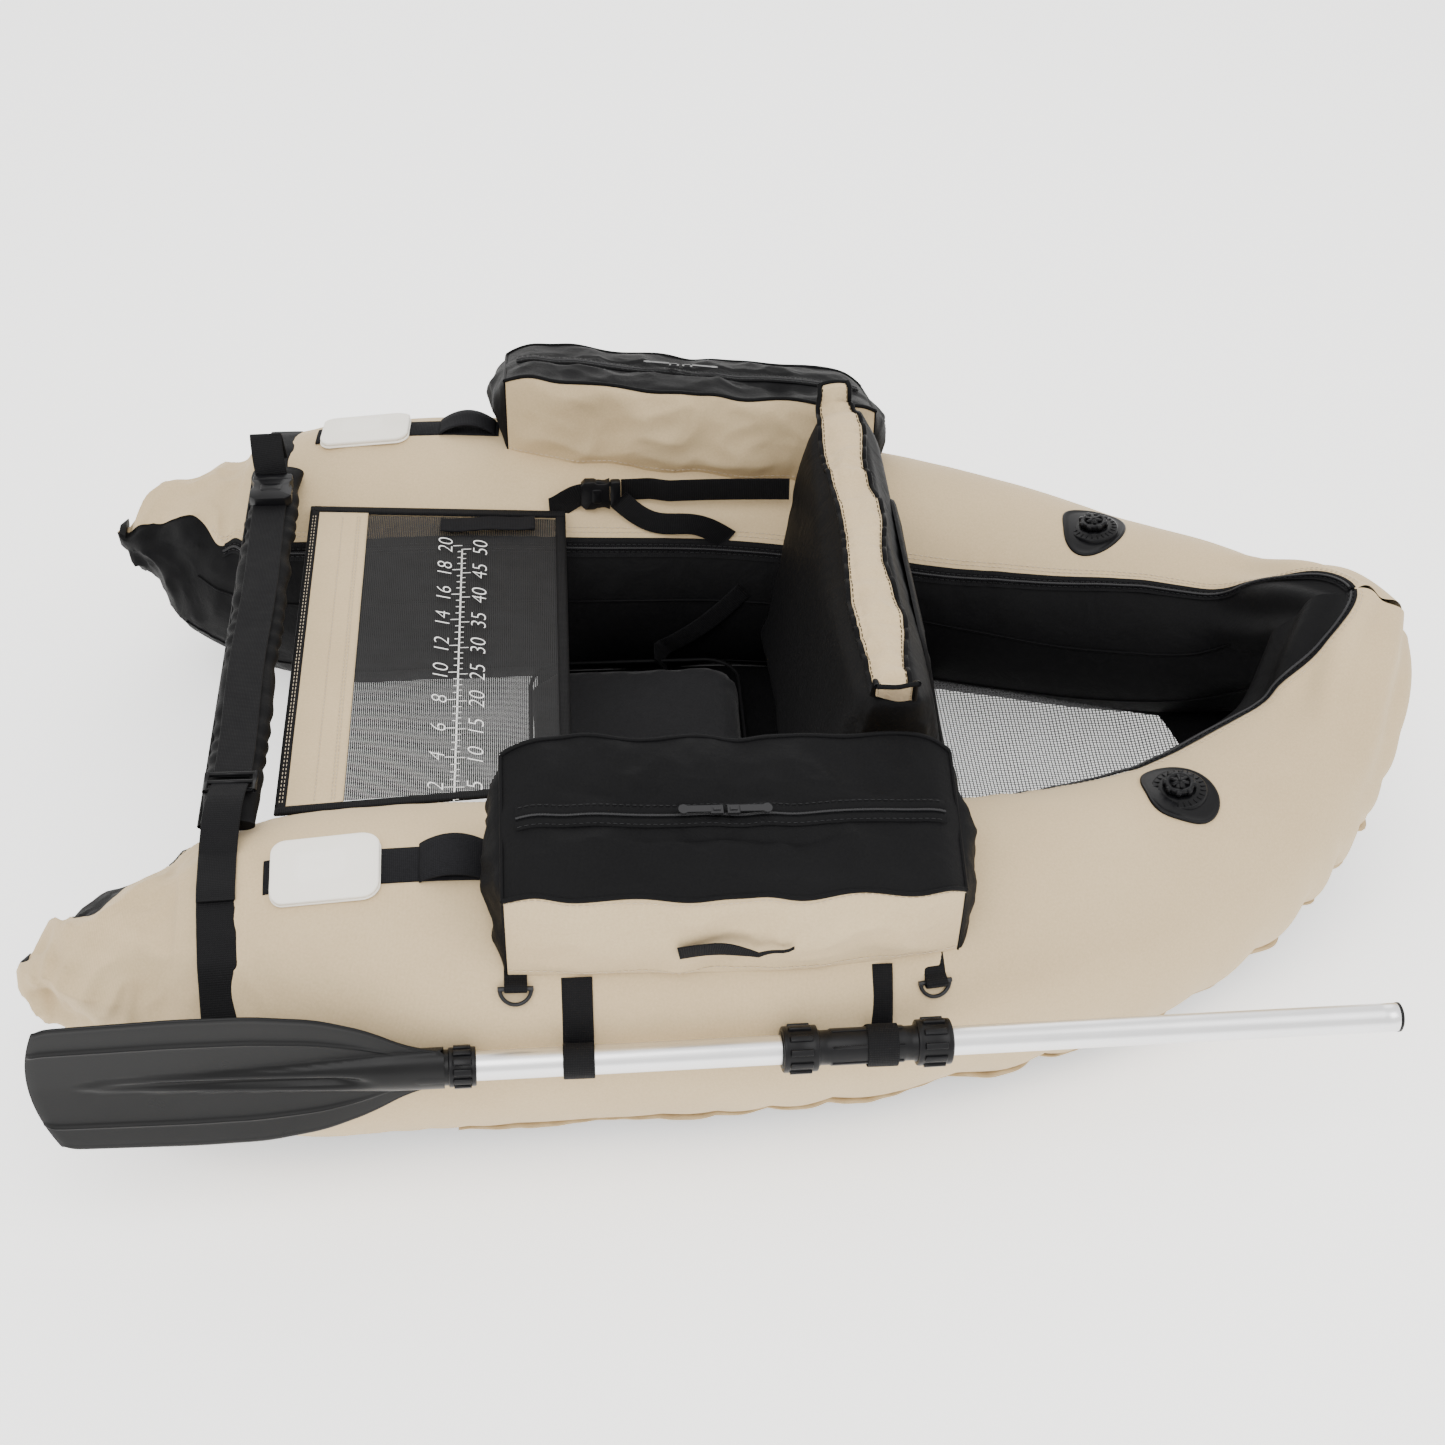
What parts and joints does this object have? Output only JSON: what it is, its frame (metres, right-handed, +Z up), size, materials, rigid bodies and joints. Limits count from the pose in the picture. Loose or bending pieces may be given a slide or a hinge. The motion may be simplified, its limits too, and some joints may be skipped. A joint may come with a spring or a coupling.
{
  "type": "inflatable float tube",
  "caption": "V-shaped inflatable float tube with tackle bags, seat, folding backrest, mesh apron and a paddle strapped alongside.",
  "frame": {"origin": "centre of the bounding box's footprint, on the surface the boat rests on", "axes": "+X towards the closed pointed bow, +Y towards the seated angler's right tube, +Z up"},
  "size_m": [1.4919, 1.0985, 0.43],
  "materials": {
    "bladder_film": "satin",
    "tan_fabric": "matte woven",
    "black_fabric": "matte woven",
    "webbing": "ribbed",
    "hook_and_loop": "matte",
    "mesh_fabric": "open mesh",
    "zipper": "coil",
    "black_plastic": "satin",
    "black_metal": "satin",
    "valve_rubber": "satin",
    "white_foam": "matte foam",
    "aluminium": "anodised"
  },
  "bodies": {
    "hull": {"bladders": "bladder_film", "right_cover_top": "tan_fabric", "left_cover_top": "tan_fabric", "right_cover_base": "black_fabric", "left_cover_base": "black_fabric", "hull_zipper": "zipper", "tail_panels": "black_fabric", "seat_cushion": "black_fabric", "seat_sling": "black_fabric", "seat_straps": "webbing", "back_buckle_females": "black_plastic", "back_straps": "webbing", "right_bag_body": "tan_fabric", "left_bag_body": "tan_fabric", "right_bag_lid": "black_fabric", "left_bag_lid": "black_fabric", "bag_zippers": "zipper", "d_ring_tabs": "webbing", "valve_patches": "valve_rubber", "valve_bodies": "valve_rubber", "fly_strips": "hook_and_loop", "stabilizer_wrap_straps": "webbing", "bow_floor": "mesh_fabric", "oar_straps": "webbing"},
    "backrest": {"backrest_cushion": "black_fabric", "backrest_gusset": "tan_fabric", "backrest_pocket": "black_fabric"},
    "pocket_slider_left": {"pocket_slider_left": "black_metal"},
    "pocket_slider_right": {"pocket_slider_right": "black_metal"},
    "apron": {"apron_mesh": "mesh_fabric", "apron_band": "tan_fabric", "apron_binding": "black_fabric"},
    "stabilizer": {"stabilizer_bar": "aluminium", "stabilizer_sleeve": "black_fabric", "stabilizer_webbing": "webbing", "stabilizer_buckle_female": "black_plastic", "stabilizer_tri_glide": "black_plastic"},
    "stabilizer_buckle": {"stabilizer_buckle_male": "black_plastic"},
    "right_back_buckle": {"right_back_buckle_male": "black_plastic"},
    "right_bag_slider_front": {"right_bag_slider_front": "black_metal"},
    "right_bag_slider_rear": {"right_bag_slider_rear": "black_metal"},
    "right_d_ring_front": {"right_d_ring_front": "black_metal"},
    "right_d_ring_rear": {"right_d_ring_rear": "black_metal"},
    "right_valve_cap": {"right_valve_cap": "valve_rubber"},
    "right_fly_pad": {"right_fly_pad": "white_foam"},
    "left_back_buckle": {"left_back_buckle_male": "black_plastic"},
    "left_bag_slider_front": {"left_bag_slider_front": "black_metal"},
    "left_bag_slider_rear": {"left_bag_slider_rear": "black_metal"},
    "left_d_ring_front": {"left_d_ring_front": "black_metal"},
    "left_d_ring_rear": {"left_d_ring_rear": "black_metal"},
    "left_valve_cap": {"left_valve_cap": "valve_rubber"},
    "left_fly_pad": {"left_fly_pad": "white_foam"},
    "paddle": {"paddle_coupling": "black_plastic", "paddle_upper_shaft": "aluminium", "paddle_end_plug": "black_plastic"},
    "paddle_lower": {"paddle_lower_shaft": "aluminium", "paddle_blade": "black_plastic"},
    "collar_lower": {"coupling_collar_lower": "black_plastic"},
    "collar_upper": {"coupling_collar_upper": "black_plastic"},
    "blade_collar": {"blade_collar": "black_plastic"}
  },
  "joints": [
    {"name": "backrest_fold", "type": "hinge", "parent": "hull", "child": "backrest", "pos_m": [0.02401, 0.0203, 0.142], "axis": [0, -1, 0], "range_deg": [0, 45], "deforming": ["back_straps"]},
    {"name": "pocket_slider_left_slide", "type": "slide", "parent": "backrest", "child": "pocket_slider_left", "axis": [0, -1, 0], "range_m": [0, 0.07]},
    {"name": "pocket_slider_right_slide", "type": "slide", "parent": "backrest", "child": "pocket_slider_right", "axis": [0, 1, 0], "range_m": [0, 0.07]},
    {"name": "apron_flip", "type": "hinge", "parent": "hull", "child": "apron", "pos_m": [-0.34499, -0.2557, 0.28782], "axis": [1, 0, 0], "range_deg": [0, 100]},
    {"name": "stabilizer_swing", "type": "hinge", "parent": "hull", "child": "stabilizer", "pos_m": [-0.53399, -0.2717, 0.31141], "axis": [0, 0, 1], "range_deg": [0, 90]},
    {"name": "stabilizer_buckle_release", "type": "slide", "parent": "stabilizer", "child": "stabilizer_buckle", "axis": [0, 1, 0], "range_m": [0, 0.03]},
    {"name": "right_back_buckle_release", "type": "slide", "parent": "hull", "child": "right_back_buckle", "axis": [1, 0, 0], "range_m": [0, 0.026], "deforming": ["back_straps"]},
    {"name": "right_bag_slider_front_slide", "type": "slide", "parent": "hull", "child": "right_bag_slider_front", "axis": [-0.9945, 0.069, 0.0785], "range_m": [0, 0.17]},
    {"name": "right_bag_slider_rear_slide", "type": "slide", "parent": "hull", "child": "right_bag_slider_rear", "axis": [0.9945, -0.069, -0.0785], "range_m": [0, 0.17]},
    {"name": "right_d_ring_front_swing", "type": "hinge", "parent": "hull", "child": "right_d_ring_front", "pos_m": [-0.25399, 0.51926, 0.25551], "axis": [0.9984, -0.0371, -0.0423], "range_deg": [0, 100]},
    {"name": "right_d_ring_rear_swing", "type": "hinge", "parent": "hull", "child": "right_d_ring_rear", "pos_m": [0.15201, 0.49178, 0.21645], "axis": [0.9796, -0.1909, -0.0625], "range_deg": [0, 100]},
    {"name": "right_valve_cap_turn", "type": "hinge", "parent": "hull", "child": "right_valve_cap", "pos_m": [0.43801, 0.26184, 0.25181], "axis": [-0.0488, 0.0264, 0.9985], "range_deg": [0, 90]},
    {"name": "right_fly_pad_lift", "type": "slide", "parent": "hull", "child": "right_fly_pad", "axis": [-0.0787, 0.158, 0.9843], "range_m": [0, 0.04]},
    {"name": "left_back_buckle_release", "type": "slide", "parent": "hull", "child": "left_back_buckle", "axis": [1, 0, 0], "range_m": [0, 0.026], "deforming": ["back_straps"]},
    {"name": "left_bag_slider_front_slide", "type": "slide", "parent": "hull", "child": "left_bag_slider_front", "axis": [-0.9945, -0.069, 0.0785], "range_m": [0, 0.17]},
    {"name": "left_bag_slider_rear_slide", "type": "slide", "parent": "hull", "child": "left_bag_slider_rear", "axis": [0.9945, 0.069, -0.0785], "range_m": [0, 0.17]},
    {"name": "left_d_ring_front_swing", "type": "hinge", "parent": "hull", "child": "left_d_ring_front", "pos_m": [-0.25399, -0.47867, 0.25551], "axis": [-0.9984, -0.0371, 0.0423], "range_deg": [0, 100]},
    {"name": "left_d_ring_rear_swing", "type": "hinge", "parent": "hull", "child": "left_d_ring_rear", "pos_m": [0.15201, -0.45118, 0.21645], "axis": [-0.9796, -0.1909, 0.0625], "range_deg": [0, 100]},
    {"name": "left_valve_cap_turn", "type": "hinge", "parent": "hull", "child": "left_valve_cap", "pos_m": [0.43801, -0.22125, 0.25181], "axis": [-0.0488, -0.0264, 0.9985], "range_deg": [0, 90]},
    {"name": "left_fly_pad_lift", "type": "slide", "parent": "hull", "child": "left_fly_pad", "axis": [-0.0787, -0.158, 0.9843], "range_m": [0, 0.04]},
    {"name": "paddle_draw", "type": "slide", "parent": "hull", "child": "paddle", "axis": [0.9984, 0.0475, -0.0302], "range_m": [-0.01, 0.03]},
    {"name": "blade_feather", "type": "hinge", "parent": "paddle", "child": "paddle_lower", "pos_m": [-0.31299, -0.5267, 0.203], "axis": [-0.9984, -0.0475, 0.0302], "range_deg": [-8, 35]},
    {"name": "collar_lower_turn", "type": "hinge", "parent": "paddle", "child": "collar_lower", "pos_m": [-0.31299, -0.5267, 0.203], "axis": [0.9984, 0.0475, -0.0302], "range_deg": [0, 60]},
    {"name": "collar_upper_turn", "type": "hinge", "parent": "paddle", "child": "collar_upper", "pos_m": [-0.31299, -0.5267, 0.203], "axis": [0.9984, 0.0475, -0.0302], "range_deg": [0, 60]},
    {"name": "blade_collar_turn", "type": "hinge", "parent": "paddle_lower", "child": "blade_collar", "pos_m": [-0.31299, -0.5267, 0.203], "axis": [0.9984, 0.0475, -0.0302], "range_deg": [0, 60]}
  ]
}
